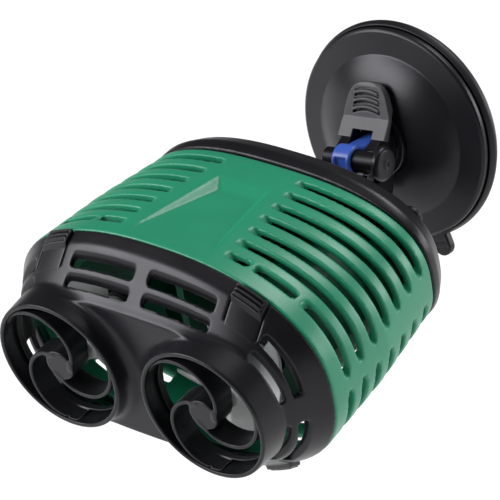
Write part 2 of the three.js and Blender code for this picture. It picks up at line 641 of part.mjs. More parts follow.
function swivelRing() {
  const ring = tube(NECK_R + GAP, RING_R, RING_FRONT_Y, RING_SEAT_Y - GAP, 32);
  const ear = (x0, x1) => union(
    sideProfile([[-15.2, -6.5], [-15.2, -12.6], [-16.5, -16.5], [TILT_Y, TILT_Z - TILT_EYE_R],
      [TILT_Y, TILT_Z + TILT_EYE_R], [-18.4, -6.5]], x0, x1),
    rod(TILT_EYE_R, x0, x1, TILT_Y, TILT_Z),
  );
  const ears = union(ear(EAR.x0, EAR.x1), ear(-EAR.x1, -EAR.x0));
  const bore = disc(NECK_R + GAP, NECK_Y - 1, RING_SEAT_Y + 2, 32);
  return cut(union(ring, ears), rod(TILT_PIN_R + PIN_CLEARANCE, -9, 9, TILT_Y, TILT_Z), bore);
}

function tiltScrew() {
  const head = rod(3, EAR.x1 + GAP, EAR.x1 + 2.2, TILT_Y, TILT_Z, 20);
  return head.add(rod(TILT_PIN_R, -EAR.x1 - 2.2, EAR.x1 + 1, TILT_Y, TILT_Z, 20));
}

function tiltNut() {
  const body = rod(3.1, -EAR.x1 - 2.2, -EAR.x1 - GAP, TILT_Y, TILT_Z, 6);
  return body.subtract(rod(TILT_PIN_R + PIN_CLEARANCE, -12, 0, TILT_Y, TILT_Z, 20));
}

// ---------------------------------------------------------------- assembly
function piece(parent, name, shape, material) {
  const mesh = new THREE.Mesh(geometryOf(shape), material);
  mesh.name = name;
  parent.add(mesh);
}

function buildCup(parent) {
  piece(parent, "suction_pad", suctionPad(), RUBBER);
  piece(parent, "cup_cover", cupCover(), BLACK);
  piece(parent, "stem", stem(), BLUE);
  piece(parent, "lever_pin", leverPin(), STEEL);
  piece(parent, "lever_pin_cap", leverPinCap(), BLACK);
  piece(parent, "lever", lever(), GREY);
}

function buildSwivel(parent) {
  piece(parent, "swivel_ring", swivelRing(), BLACK);
  piece(parent, "tilt_screw", tiltScrew(), STEEL);
  piece(parent, "tilt_nut", tiltNut(), STEEL);
}

function buildMotor(parent, side, hand) {
  piece(parent, `motor_can_${hand}`, motorCan(side), GREEN);
  piece(parent, `stator_core_${hand}`, statorCore(side), IRON);
  piece(parent, `coil_upper_${hand}`, coil(side, 1), COPPER);
  piece(parent, `coil_lower_${hand}`, coil(side, -1), COPPER);
  piece(parent, `potting_${hand}`, potting(side), RESIN);
  piece(parent, `shaft_${hand}`, shaft(side), CERAMIC);
  piece(parent, `front_bush_${hand}`, frontBush(side), RUBBER);
  piece(parent, `rear_bush_${hand}`, rearBush(side), RUBBER);
  piece(parent, `rotor_magnet_${hand}`, rotorMagnet(side), FERRITE);
  piece(parent, `impeller_${hand}`, impeller(side), WHITE);
  piece(parent, `outlet_guard_${hand}`, outletGuard(side), BLACK);
}

function buildPump(parent) {
  piece(parent, "front_cover", frontCover(), BLACK);
  for (const [side, up, corner] of CORNERS) {
    piece(parent, `latch_${corner}`, latch(side, up), BLACK);
    piece(parent, `rear_screw_${corner}`, rearScrew(side, up), STEEL);
  }
  piece(parent, "green_shell", greenShell(), GREEN);
  piece(parent, "rear_cover", rearCover(), BLACK);
  piece(parent, "motor_plate", motorPlate(), BLACK);
  piece(parent, "cable_gland", cableGland(), RUBBER);
  piece(parent, "mount_arm", mountArm(), BLACK);
  piece(parent, "arm_screw_left", armScrew(-1), STEEL);
  piece(parent, "arm_screw_right", armScrew(1), STEEL);
  buildMotor(parent, -1, "left");
  buildMotor(parent, 1, "right");
}

const group = new THREE.Group();
const cup = new THREE.Group();
cup.rotation.y = -CUP_TWIST;
const pump = new THREE.Group();
pump.position.set(...PUMP_ORIGIN);
pump.rotation.x = PUMP_PITCH;
group.add(cup, pump);
buildCup(cup);
buildSwivel(group);
buildPump(pump);

export default group;
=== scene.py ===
# Looks for the twin-outlet wave maker pump on its suction cup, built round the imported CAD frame.
# Lengths are millimetres in the frame that each piece was drawn in, and become metres in place().
# The floor, the lights and the sizes in the materials are metres.
import math

import bpy
import numpy as np
from mathutils import Matrix, Vector


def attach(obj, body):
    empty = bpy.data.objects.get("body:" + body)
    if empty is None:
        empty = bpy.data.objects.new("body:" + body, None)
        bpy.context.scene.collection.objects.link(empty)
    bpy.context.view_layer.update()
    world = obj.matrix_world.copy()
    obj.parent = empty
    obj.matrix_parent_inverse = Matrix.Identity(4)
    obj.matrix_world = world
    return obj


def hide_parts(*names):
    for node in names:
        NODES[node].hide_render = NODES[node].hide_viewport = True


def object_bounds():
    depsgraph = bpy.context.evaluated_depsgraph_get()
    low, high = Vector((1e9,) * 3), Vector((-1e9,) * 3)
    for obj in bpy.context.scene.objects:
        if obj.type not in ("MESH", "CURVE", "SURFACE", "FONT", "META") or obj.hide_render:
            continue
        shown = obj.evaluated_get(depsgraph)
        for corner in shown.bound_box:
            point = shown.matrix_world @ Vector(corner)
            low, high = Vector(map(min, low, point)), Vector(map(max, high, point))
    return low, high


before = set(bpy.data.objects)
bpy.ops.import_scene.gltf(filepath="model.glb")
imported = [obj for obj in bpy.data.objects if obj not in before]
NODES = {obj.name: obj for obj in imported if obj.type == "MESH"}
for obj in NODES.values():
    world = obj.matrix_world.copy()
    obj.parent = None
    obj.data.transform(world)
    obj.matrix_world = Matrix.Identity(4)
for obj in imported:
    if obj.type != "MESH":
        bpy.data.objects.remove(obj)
CAD_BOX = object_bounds()
COARSER = 1.0

# ---------------------------------------------------------------- frames of the pieces
MM = 0.001
PUMP_PITCH = math.radians(13.7)
CUP_TWIST = math.radians(7.7)
PUMP_ORIGIN = Vector((0, -133, -32.3))
PUMP = Matrix.Translation(PUMP_ORIGIN) @ Matrix.Rotation(PUMP_PITCH, 4, "X")
CUP = Matrix.Rotation(-CUP_TWIST, 4, "Y")
ROW = Matrix.Identity(4)

# ---------------------------------------------------------------- sections, front to back
# (Y, half width, half height, superellipse power)
FRONT = [(6.4, 43.6, 21.9, 2.9), (8.4, 45.3, 23.5, 2.8), (17.8, 51.4, 33.8, 2.45), (21.9, 54.7, 35.8, 2.32)]
SHELL = [(22.3, 54.7, 35.8, 2.32), (49.5, 53.6, 30.7, 2.45), (76.9, 49.8, 25.7, 2.6)]
REAR = [(77.3, 49.9, 26.2, 2.55), (80.5, 49.6, 27.2, 2.5), (85.5, 46.8, 25.2, 2.5), (88.3, 42.0, 20.8, 2.5)]
EASE = 0.9  # along Y, how far a corner between two sections is rounded
WALL = 2.6
OUTLET_X = 25.5
FAR = 50.0  # a distance where nothing is cut


# ---------------------------------------------------------------- distance fields
def smax(a, b, k=0.6):
    return np.maximum(a, b) + np.maximum(k - np.abs(a - b), 0) ** 2 / (4 * k)


def smin(a, b, k=0.6):
    return -smax(-a, -b, k)


def most(*fields):
    result = fields[0]
    for field in fields[1:]:
        result = np.maximum(result, field)
    return result


def section(sections, y):
    """Half width, half height and power at Y, with the corners between sections rounded."""
    tables = [fillet([(s[0], s[k]) for s in sections], EASE, 5) for k in (1, 2, 3)]
    return [np.interp(y, [q[0] for q in table], [q[1] for q in table]) for table in tables]


def loft(sections, x, y, z, step):
    """Distance to a superellipse body whose section changes along Y."""
    w, h, n = section(sections, y)
    gauge = ((np.abs(x) / w) ** n + (np.abs(z) / h) ** n) ** (1 / n) - 1
    slopes = np.gradient(gauge, step)
    steep = np.sqrt(sum(s * s for s in slopes))
    return gauge / np.maximum(steep, 0.008)


def section_angle(sections, x, y, z):
    """The superellipse's own angle, 0 at the sides and 90 degrees at the top and bottom."""
    w, h, n = section(sections, y)
    return np.arctan2((np.abs(z) / h) ** (n / 2), (np.abs(x) / w) ** (n / 2))


def slab(u, low, high):
    return np.maximum(low - u, u - high)


def rounded_box(u, v, r):
    """What two slab distances have in common, with its corners rounded."""
    a, b = np.maximum(u + r, 0), np.maximum(v + r, 0)
    return np.sqrt(a * a + b * b) + np.minimum(np.maximum(u + r, v + r), 0) - r


def polygon(points, u, v):
    """Distance to a closed outline in two coordinates."""
    best = np.full(np.broadcast_shapes(np.shape(u), np.shape(v)), 1e9)
    odd = np.zeros(best.shape, bool)
    for (ax, ay), (bx, by) in zip(points, points[1:] + points[:1]):
        ex, ey = bx - ax, by - ay
        t = np.clip(((u - ax) * ex + (v - ay) * ey) / (ex * ex + ey * ey), 0, 1)
        best = np.minimum(best, (u - ax - t * ex) ** 2 + (v - ay - t * ey) ** 2)
        if ay != by:
            crosses = (ay > v) != (by > v)
            odd ^= crosses & (u < ax + (v - ay) * ex / ey)
    return np.where(odd, -1, 1) * np.sqrt(best)


def ring_r(x, z, cx=0.0, cz=0.0):
    return np.sqrt((x - cx) ** 2 + (z - cz) ** 2)


CORNERS = [(i, j, k) for i in (0, 1) for j in (0, 1) for k in (0, 1)]


def on_surface(cells, values):
    """One point per mixed cell: the mean of its edge crossings, then moved onto the surface."""
    total = np.zeros((len(cells), 3))
    hits = np.zeros(len(cells))
    for a in range(8):
        for axis, bit in ((0, 4), (1, 2), (2, 1)):
            if a & bit:
                continue
            va, vb = values[:, a], values[:, a | bit]
            crossing = (va < 0) != (vb < 0)
            t = np.where(crossing, va / np.where(crossing, va - vb, 1), 0)
            point = np.tile(np.array(CORNERS[a], float), (len(cells), 1))
            point[:, axis] += t
            total += point * crossing[:, None]
            hits += crossing
    p = total / hits[:, None]
    c = values.reshape(-1, 2, 2, 2)
    for _ in range(2):
        u, v, w = p[:, 0], p[:, 1], p[:, 2]
        cu = c[:, 0] * (1 - u)[:, None, None] + c[:, 1] * u[:, None, None]
        cuv = cu[:, 0] * (1 - v)[:, None] + cu[:, 1] * v[:, None]
        value = cuv[:, 0] * (1 - w) + cuv[:, 1] * w
        gw = cuv[:, 1] - cuv[:, 0]
        dv = cu[:, 1] - cu[:, 0]
        gv = dv[:, 0] * (1 - w) + dv[:, 1] * w
        du = c[:, 1] - c[:, 0]
        duv = du[:, 0] * (1 - v)[:, None] + du[:, 1] * v[:, None]
        gu = duv[:, 0] * (1 - w) + duv[:, 1] * w
        g = np.stack([gu, gv, gw], 1)
        move = value[:, None] * g / np.maximum((g * g).sum(1), 1e-9)[:, None]
        p = np.clip(p - np.clip(move, -0.3, 0.3), 0, 1)
    return p


def mesh_of(field, low, high, step):
    """Vertices and quads of a field's zero surface inside a box."""
    step *= COARSER
    axes = [np.arange(a - 2.3 * step, b + 3.3 * step, step) for a, b in zip(low, high)]
    x, y, z = axes[0][:, None, None], axes[1][None, :, None], axes[2][None, None, :]
    f = np.array(np.broadcast_to(field(x, y, z, step), [len(a) for a in axes]), np.float32)
    inside = f < 0
    size = [n - 1 for n in f.shape]
    count = np.zeros(size, np.int8)
    for i, j, k in CORNERS:
        count += inside[i:size[0] + i, j:size[1] + j, k:size[2] + k]
    cells = np.argwhere((count > 0) & (count < 8))
    values = np.stack([f[tuple((cells + c).T)] for c in CORNERS], 1).astype(float)
    origin = np.array([a[0] for a in axes])
    verts = origin + (cells + on_surface(cells, values)) * step
    index = np.full(size, -1, np.int64)
    index[tuple(cells.T)] = np.arange(len(cells))
    quads = []
    for axis in range(3):
        u, v = (axis + 1) % 3, (axis + 2) % 3
        here, there = [slice(None)] * 3, [slice(None)] * 3
        here[axis], there[axis] = slice(0, -1), slice(1, None)
        edges = np.argwhere(inside[tuple(here)] != inside[tuple(there)])
        edges = edges[(edges[:, u] > 0) & (edges[:, v] > 0)]
        starts_in = inside[tuple(edges.T)]
        back_u, back_v = np.eye(3, dtype=int)[u], np.eye(3, dtype=int)[v]
        around = [edges - back_u - back_v, edges - back_v, edges, edges - back_u]
        quad = np.stack([index[tuple(e.T)] for e in around], 1)
        quad[~starts_in] = quad[~starts_in][:, ::-1]
        quads.append(quad)
    return verts, np.concatenate(quads)


# ---------------------------------------------------------------- meshes and pieces
def fillet(points, radius, steps=4):
    """An open outline with its inner corners rounded."""
    result = [points[0]]
    for before, at, after in zip(points, points[1:], points[2:]):
        a, p, b = (np.array(q, float) for q in (before, at, after))
        la, lb = np.linalg.norm(a - p), np.linalg.norm(b - p)
        reach = min(radius, la * 0.45, lb * 0.45)
        start, end = p + (a - p) / la * reach, p + (b - p) / lb * reach
        for k in range(steps + 1):
            t = k / steps
            result.append(tuple((1 - t) ** 2 * start + 2 * t * (1 - t) * p + t * t * end))
    result.append(points[-1])
    return result


def turned(profile, segments=96, radius=0.5, ripple=None):
    """An outline of [radius, Y] points turned about the Y axis. It ends on the axis or closes on itself."""
    points = fillet(profile, radius)
    verts, faces, rings = [], [], []
    for r, y in points:
        if r < 1e-6:
            verts.append((0, y, 0))
            rings.append([len(verts) - 1])
            continue
        ring = []
        for k in range(segments):
            a = 2 * math.pi * k / segments
            rr = r + (ripple(a, r, y) if ripple else 0)
            verts.append((rr * math.cos(a), y, rr * math.sin(a)))
            ring.append(len(verts) - 1)
        rings.append(ring)
    for one, two in zip(rings, rings[1:]):
        for k in range(segments):
            m = (k + 1) % segments
            if len(one) == 1 and len(two) > 1:
                faces.append((one[0], two[m], two[k]))
            elif len(two) == 1 and len(one) > 1:
                faces.append((one[k], one[m], two[0]))
            elif len(one) > 1:
                faces.append((one[k], one[m], two[m], two[k]))
    return np.array(verts), faces


def volume(verts, faces):
    total = 0.0
    for face in faces:
        for k in range(1, len(face) - 1):
            total += np.dot(verts[face[0]], np.cross(verts[face[k]], verts[face[k + 1]]))
    return total


def moved(verts, x=0.0, y=0.0, z=0.0):
    return np.asarray(verts) + np.array([x, y, z])


def turn_to_x(verts):
    """Turns a piece made about the Y axis so that its axis runs along X, with +Y going to +X."""
    v = np.asarray(verts)
    return np.stack([v[:, 1], -v[:, 0], v[:, 2]], 1)


def place(name, mesh, within, body, material, replaced=(), limit=None):
    verts, faces = mesh
    matrix = np.array(within)
    world = (np.asarray(verts) @ matrix[:3, :3].T + matrix[:3, 3]) * MM
    data = bpy.data.meshes.new(name)
    data.from_pydata(world.tolist(), [], [tuple(int(i) for i in f) for f in faces])
    data.validate()
    data.shade_smooth()
    obj = bpy.data.objects.new(name, data)
    bpy.context.scene.collection.objects.link(obj)
    if limit and len(faces) > limit:
        mod = obj.modifiers.new("lighter", "DECIMATE")
        mod.ratio = limit / len(faces)
    data.materials.append(material)
    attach(obj, body)
    if replaced:
        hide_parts(*replaced)
    return obj


def lathe(name, profile, within, body, material, replaced=(), at=(0, 0, 0), along_x=False,
          segments=96, radius=0.5, ripple=None):
    verts, faces = turned(profile, segments, radius, ripple)
    if volume(verts, faces) < 0:
        faces = [tuple(reversed(f)) for f in faces]
    if along_x:
        verts = turn_to_x(verts)
    return place(name, (moved(verts, *at), faces), within, body, material, replaced)


# ---------------------------------------------------------------- materials
def add(tree, kind, **settings):
    node = tree.nodes.new(kind)
    for key, value in settings.items():
        setattr(node, key, value)
    return node


def ramp(tree, source, low, high, black=(0, 0, 0, 1), white=(1, 1, 1, 1)):
    node = add(tree, "ShaderNodeValToRGB")
    for element, position, colour in zip(node.color_ramp.elements, (low, high), (black, white)):
        element.position = position
        element.color = colour
    tree.links.new(source, node.inputs["Fac"])
    return node.outputs["Color"]


def noise(tree, vector, scale, detail=4.0, rough=0.55):
    node = add(tree, "ShaderNodeTexNoise")
    node.inputs["Scale"].default_value = scale
    node.inputs["Detail"].default_value = detail
    node.inputs["Roughness"].default_value = rough
    tree.links.new(vector, node.inputs["Vector"])
    return node.outputs["Fac"]


def mix(tree, factor, a, b, mode="MIX"):
    node = add(tree, "ShaderNodeMix", data_type="RGBA", blend_type=mode)
    for socket, value in ((node.inputs["Factor"], factor), (node.inputs["A"], a), (node.inputs["B"], b)):
        if isinstance(value, bpy.types.NodeSocket):
            tree.links.new(value, socket)
        elif isinstance(value, tuple):
            socket.default_value = (*value, 1)
        else:
            socket.default_value = value
    return node.outputs["Result"]


EDGE_WEAR_AND_HIGHLIGHT_RADIUS = 0.0004  # metres
GRAIN_HEIGHT = 0.00012  # metres


def finish_material(name, colour, rough, grain=1400.0, bump=0.12, mottle=0.12, edge_wear_and_highlight=0.25, edge=0.12,
                    metallic=0.0, specular=0.5, tint=(1, 1, 1), stretch=(1, 1, 1), speck=0.0):
    """Plastic, rubber or metal: fine surface grain, patchy tone, paler edges that are partly wear and
    partly a painted highlight, uneven polish.
    """
    material = bpy.data.materials.new(name)
    material.use_nodes = True
    tree = material.node_tree
    shader = tree.nodes["Principled BSDF"]
    where = add(tree, "ShaderNodeTexCoord").outputs["Object"]
    scaled = add(tree, "ShaderNodeMapping")
    scaled.inputs["Scale"].default_value = stretch
    tree.links.new(where, scaled.inputs["Vector"])
    fine = noise(tree, scaled.outputs["Vector"], grain, 3.0, 0.6)
    broad = noise(tree, where, 38.0, 3.0)
    dark = tuple(c * (1 - mottle) for c in colour)
    light = tuple(min(1.0, c * (1 + mottle)) for c in colour)
    body = mix(tree, ramp(tree, broad, 0.35, 0.65), dark, light)
    if speck:
        body = mix(tree, ramp(tree, noise(tree, where, 420.0, 2.0), 0.62, 0.72), body,
                   tuple(min(1.0, c + speck) for c in colour))
    # An edge is where the rounded surface's normal turns away from the real one.
    rounded = add(tree, "ShaderNodeBevel", samples=4)
    rounded.inputs["Radius"].default_value = EDGE_WEAR_AND_HIGHLIGHT_RADIUS
    along = add(tree, "ShaderNodeVectorMath", operation="DOT_PRODUCT")
    tree.links.new(rounded.outputs["Normal"], along.inputs[0])
    tree.links.new(add(tree, "ShaderNodeNewGeometry").outputs["Normal"], along.inputs[1])
    # Paler edges and creases: partly wear, partly a painted highlight along them.
    worn_and_highlit_edges = ramp(tree, along.outputs["Value"], 0.90, 0.99, black=(edge, edge, edge, 1), white=(0, 0, 0, 1))
    pale = tuple(min(1.0, c + edge_wear_and_highlight * (1 - c)) for c in colour)
    tree.links.new(mix(tree, worn_and_highlit_edges, body, pale), shader.inputs["Base Color"])
    polish = add(tree, "ShaderNodeMapRange")
    polish.inputs["To Min"].default_value = max(0.05, rough - 0.07)
    polish.inputs["To Max"].default_value = min(1.0, rough + 0.07)
    tree.links.new(noise(tree, where, 90.0, 4.0), polish.inputs["Value"])
    tree.links.new(polish.outputs["Result"], shader.inputs["Roughness"])
    shader.inputs["Metallic"].default_value = metallic
    shader.inputs["Specular IOR Level"].default_value = specular
    shader.inputs["Specular Tint"].default_value = (*tint, 1)
    height = add(tree, "ShaderNodeBump")
    height.inputs["Strength"].default_value = bump
    height.inputs["Distance"].default_value = GRAIN_HEIGHT
    tree.links.new(fine, height.inputs["Height"])
    tree.links.new(height.outputs["Normal"], shader.inputs["Normal"])
    return material


BLACK = finish_material("black_satin", (0.008, 0.0078, 0.0098), 0.33, bump=0.16, edge_wear_and_highlight=0.12, edge=0.5,
                        specular=0.3, tint=(0.95, 0.94, 1.0))
GREEN = finish_material("green_satin", (0.016, 0.255, 0.135), 0.38, bump=0.10, mottle=0.05, edge_wear_and_highlight=0.35,
                        edge=0.12, specular=0.5, tint=(0.9, 1.0, 0.97))
# The shell's green, made darker for the parts inside: painted shade.
SHADED_INNER_GREEN = finish_material("green_inside_painted_shade", (0.005, 0.09, 0.05), 0.5, bump=0.10, mottle=0.05,
                              specular=0.3)
RUBBER = finish_material("soft_rubber", (0.010, 0.010, 0.0115), 0.42, bump=0.2, edge_wear_and_highlight=0.05, edge=0.4,
                         specular=0.3, tint=(0.95, 0.94, 1.0))
GREY = finish_material("lever_grey", (0.058, 0.057, 0.064), 0.45, bump=0.16, edge_wear_and_highlight=0.2, edge=0.4,
                       specular=0.4)
BLUE = finish_material("blue_acetal", (0.045, 0.11, 0.5), 0.36, bump=0.08, mottle=0.08, edge_wear_and_highlight=0.3, edge=0.4)
STEEL = finish_material("brushed_steel", (0.105, 0.10, 0.095), 0.46, grain=900.0, bump=0.2, metallic=1.0,
                        stretch=(0.15, 1, 1), edge_wear_and_highlight=0.3)
DARK_STEEL = finish_material("blackened_steel", (0.03, 0.03, 0.034), 0.48, grain=900.0, bump=0.2,
                             metallic=1.0, stretch=(0.15, 1, 1), edge_wear_and_highlight=0.1, edge=0.5)
IRON = finish_material("laminated_iron", (0.25, 0.25, 0.26), 0.5, grain=700.0, bump=0.3, metallic=1.0,
                       stretch=(0.1, 3, 0.1))
COPPER = finish_material("wound_copper", (0.62, 0.27, 0.11), 0.34, grain=500.0, bump=0.5, metallic=1.0,
                         stretch=(1, 0.2, 4))
RESIN = finish_material("cast_resin", (0.012, 0.012, 0.014), 0.22, grain=300.0, bump=0.1)
CERAMIC = finish_material("ground_ceramic", (0.8, 0.79, 0.74), 0.3, bump=0.05, mottle=0.04)
FERRITE = finish_material("ground_ferrite", (0.05, 0.05, 0.055), 0.5, bump=0.2, speck=0.03)
WHITE = finish_material("white_acetal", (0.6, 0.62, 0.62), 0.4, bump=0.08, mottle=0.04, edge=0.1)

# ---------------------------------------------------------------- green shell
SLOT_WIDTH = 3.1
SLOT_ROWS = [  # Y, inner X of the slots on the right and on the left
    (30, 18.7, 16.8), (37, 17.5, 17.2), (44, 16.2, 17.4), (51, 14.6, 17.2),
    (58, 13.5, 16.9), (65, 12.4, 16.0), (72, 11.2, 14.7)]
SLOT_BARS = ((26.3, 27.9), (41.0, 43.0))  # they break up the front row
SLOT_TOP_END = ([30, 72], [1.1, 4.6])  # Y, how far above the middle plane a slot stops
SLOT_BOTTOM_END = ([30, 72], [2.6, 4.9])  # and how far below it
SCOOP = 2.9  # length of the sloped floor at a slot's ends
CUT_DEPTH = 8  # below the skin
TRAY_DEPTH = ([24, 27, 58.5, 60, 64.5], [0, 0.25, 2.2, 2.1, 0])  # Y, depth of the hollow on top
TRAY_HALF = ([25, 63], [14.4, 9.4])
TRAY_MIDDLE = ([25, 63], [1.6, -1.2])
TRAY_SLOPE = 0.76


def scoop(body, end, v, taper):
    """The cut at a slot's end that rises from the slot to the surface."""
    rise = WALL * (1 - np.clip(end, 0, SCOOP) / SCOOP)
    sides = rounded_box(end - SCOOP, v + 0.1 + taper * np.clip(end, 0, SCOOP), 0.9)
    return most(sides, -0.8 - end, -body - rise)


def shell_field(x, y, z, step):
    body = loft(SHELL, x, y, z, step)
    across = np.interp(y, *TRAY_HALF) - np.abs(x - np.interp(y, *TRAY_MIDDLE))
    sunk = np.minimum(np.interp(y, *TRAY_DEPTH), np.maximum(across, 0) * TRAY_SLOPE) * (z > 0)
    shell = smax(body + sunk, -(body + WALL + sunk), 0.5)
    shell = smax(shell, slab(y, SHELL[0][0] - 0.15, SHELL[-1][0] + 0.1), 0.35)
    top = np.interp(y, *SLOT_TOP_END) + SCOOP
    bottom = np.interp(y, *SLOT_BOTTOM_END) + SCOOP
    edge = np.where(z > 0, top - z, bottom + z)
    cut = np.full(np.broadcast_shapes(x.shape, y.shape, z.shape), FAR)
    for row, (at, right, left) in enumerate(SLOT_ROWS):
        near = np.flatnonzero(np.abs(y.ravel() - at) < SLOT_WIDTH / 2 + 2)
        rows = slice(near[0], near[-1] + 1)
        v = np.abs(y[:, rows] - at) - SLOT_WIDTH / 2
        inner = np.where(x > 0, right, left) + SCOOP - np.abs(x)
        outer = edge[:, rows]
        ends = smax(inner, outer, 0.1)
        if row == 0:
            for a, b in SLOT_BARS:
                ends = smax(ends, -slab(np.abs(x), a, b), 0.1)
        skin = body[:, rows]
        hole = rounded_box(ends, v, 1.4)
        slopes = np.minimum(scoop(skin, inner + 0 * outer, v, 0.04) + np.maximum(outer, 0) * 9,
                            scoop(skin, outer + 0 * inner, v, 0.3) + np.maximum(inner, 0) * 9)
        cut[:, rows] = np.minimum(cut[:, rows], np.minimum(hole, slopes))
    soft = np.where(body > -1.3, 0.3, 1.2)
    return smax(shell, -np.maximum(cut, -(body + CUT_DEPTH)), soft)


# ---------------------------------------------------------------- front cover
FACE = 6.4
TUBE_R, BORE_R = 21, 19.6  # at the lip
TUBE_FLARE = 0.083
TUBE_LIP = -3
TUBE_BLEND = ([0, 10, 24, 30], [4.5, 3.5, 1.8, 0.7])  # |X|, radius where the tube leaves the face
COVER_INSIDE = 8.6
FRONT_SLOTS = ((14.7, 1.35), (10.4, 1.15))  # Y, half width
FRONT_SLOT_X = (2.6, 25.2)
FRONT_SLOT_ANGLES = (math.radians(5), math.radians(40))
SLOT_TURN_R = 42  # turns the section's angle into a length
FRONT_CUT_DEPTH = 7


def nozzle_r(x, z):
    return ring_r(np.abs(x), z, OUTLET_X)


def front_skin(x, y, z, step):
    """The outside of the front cover before anything is cut."""
    body = loft(FRONT, x, y, z, step)
    face = smax(body, FACE - y, 0.4)
    tube = smax(nozzle_r(x, z) - TUBE_R - TUBE_FLARE * y, -y, 0.5)
    tube = smax(tube, y - 10, 0.5)
    return body, smin(face, tube, np.interp(np.abs(x), *TUBE_BLEND))


def front_hollow(body, x, y, z):
    cavity = smax(body + WALL, COVER_INSIDE - y, 1.2)
    bore = smax(nozzle_r(x, z) - BORE_R - TUBE_FLARE * y, slab(y, TUBE_LIP, 12), 0.3)
    return smin(cavity, bore, 0.6)


def front_slots(body, x, y, z):
    angle = section_angle(FRONT, x, y, z)
    side = slab(angle, *FRONT_SLOT_ANGLES) * SLOT_TURN_R
    top = slab(np.abs(x), *FRONT_SLOT_X)
    cut = FAR
    for at, half in FRONT_SLOTS:
        v = np.abs(y - at) - half
        cut = np.minimum(cut, np.minimum(rounded_box(top, v, 0.9), rounded_box(side, v, 0.9)))
    return np.maximum(cut, -(body + FRONT_CUT_DEPTH))


LATCH_X = 33.7
LATCH_HALF = 4.7
LATCH_FRONT = 12.0
LATCH_REAR = 21.4
LATCH_LOW = 17
LATCH_STEP = 16.9  # behind it the latch stands proud and carries the grip ribs
LATCH_LIFT = 1.1
LATCH_RIBS = (17.4, 21.3)
LATCH_RIB_TOP = 18.2
LATCH_RIB_PITCH = 1.25
LATCH_RIB_HALF = 4.2


def latch_window(x, y, z, side, front, rear):
    across = slab(np.abs(x), LATCH_X - side, LATCH_X + side)
    return most(across, slab(y, front, rear), LATCH_LOW - np.abs(z))


def front_field(x, y, z, step):
    body, skin = front_skin(x, y, z, step)
    solid = smax(skin, -front_hollow(body, x, y, z), 0.4)
    solid = smax(solid, y - FRONT[-1][0], 0.3)
    solid = smax(solid, -front_slots(body, x, y, z), np.where(body > -1.3, 0.5, 1.2))
    window = latch_window(x, y, z, LATCH_HALF + 0.3, LATCH_FRONT + 1.3, 30)
    return smax(solid, -window, 0.25)


def latch_field(x, y, z, step):
    body = loft(FRONT, x, y, z, step)
    lift = 0.05 + LATCH_LIFT * np.clip((y - LATCH_STEP) / 0.5, 0, 1)
    wave = np.clip(1.8 * np.cos((y - LATCH_RIB_TOP) * 2 * math.pi / LATCH_RIB_PITCH), -1, 1)
    ribs = np.where((y > LATCH_RIBS[0]) & (y < LATCH_RIBS[1]), 0.5 * wave - 0.1, 0)
    ribs = ribs * np.clip((LATCH_RIB_HALF - np.abs(np.abs(x) - LATCH_X)) / 0.3, 0, 1)
    plate = smax(body - lift - ribs, -(body + WALL), 0.3)
    window = latch_window(x, y, z, LATCH_HALF, LATCH_FRONT, LATCH_REAR)
    return smax(plate, window, 0.4)


# ---------------------------------------------------------------- rear cover
SCREW_X, SCREW_Z = 36.0, 10.0
SCREWS = [(sx * SCREW_X, sz * SCREW_Z) for sx in (-1, 1) for sz in (-1, 1)]
SCREW_HOLE_R = 2.1
GLAND = (-22.0, -6.0)
GLAND_HOLE_R = 4.5
REAR_START, REAR_END = REAR[0][0], REAR[-1][0]
REAR_INSIDE = 85.2


def rear_field(x, y, z, step):
    body = loft(REAR, x, y, z, step)
    outer = smax(smax(body, y - REAR_END, 1.4), REAR_START - y, 0.5)
    inner = smax(body + WALL, y - REAR_INSIDE, 2)
    solid = smax(outer, -inner, 0.4)
    for sx, sz in SCREWS:
        solid = smax(solid, SCREW_HOLE_R - ring_r(x, z, sx, sz), 0.4)
    return smax(solid, GLAND_HOLE_R - ring_r(x, z, *GLAND), 0.4)


# ---------------------------------------------------------------- outlet guards and impellers
HUB_R = 4.8
GUARD_R = 19.3
GUARD_FRONT = 0.5
GUARD_REAR = 8.0
GUARD_FLARE = 0.07
GUARD_BORE_R = 3.2  # a blind hole into the hub from behind
VANE_START_R = 4.1
VANE_HALF = 0.62
VANE_END = math.radians(35)
VANE_SWEEP = math.radians(155)


def spiral(turn, steps=40):
    points = []
    for k in range(steps + 1):
        u = k / steps
        r = VANE_START_R + (GUARD_R + 0.8 - VANE_START_R) * (1 - math.cos(math.pi * u)) / 2
        a = turn + VANE_END - VANE_SWEEP * (1 - u)
        points.append((r * math.cos(a), r * math.sin(a)))
    return points


def near_line(points, u, v):
    best = 1e9
    for (ax, ay), (bx, by) in zip(points, points[1:]):
        ex, ey = bx - ax, by - ay
        t = np.clip(((u - ax) * ex + (v - ay) * ey) / (ex * ex + ey * ey), 0, 1)
        best = np.minimum(best, (u - ax - t * ex) ** 2 + (v - ay - t * ey) ** 2)
    return np.sqrt(best)


def guard_field(x, y, z, step):
    r = ring_r(x, z)
    vanes = 1e9
    for k in range(3):
        vanes = np.minimum(vanes, near_line(spiral(k * 2 * math.pi / 3), x, z))
    blade = smax(vanes - VANE_HALF, slab(y, GUARD_FRONT, GUARD_REAR), 0.4)
    hub = smax(r - HUB_R, slab(y, GUARD_FRONT, GUARD_REAR), 0.5)
    rim = smax(np.abs(r - GUARD_R + 0.1) - 0.3, slab(y, GUARD_REAR - 2, GUARD_REAR), 0.2)
    solid = smin(smin(blade, hub, 0.8), rim, 0.8)
    solid = smax(solid, -smax(r - GUARD_BORE_R, 3.4 - y, 0.2), 0.2)
    return smax(solid, r - GUARD_R - 0.2 - GUARD_FLARE * y, 0.1)


IMPELLER_HUB_R, IMPELLER_BORE_R = 5, 2
IMPELLER_HUB = (10.5, 28.6)
BLADES = (11.5, 24)
BLADE_TURN = math.radians(62)
BLADE_R = 17.3
BLADE_HALF = 0.7


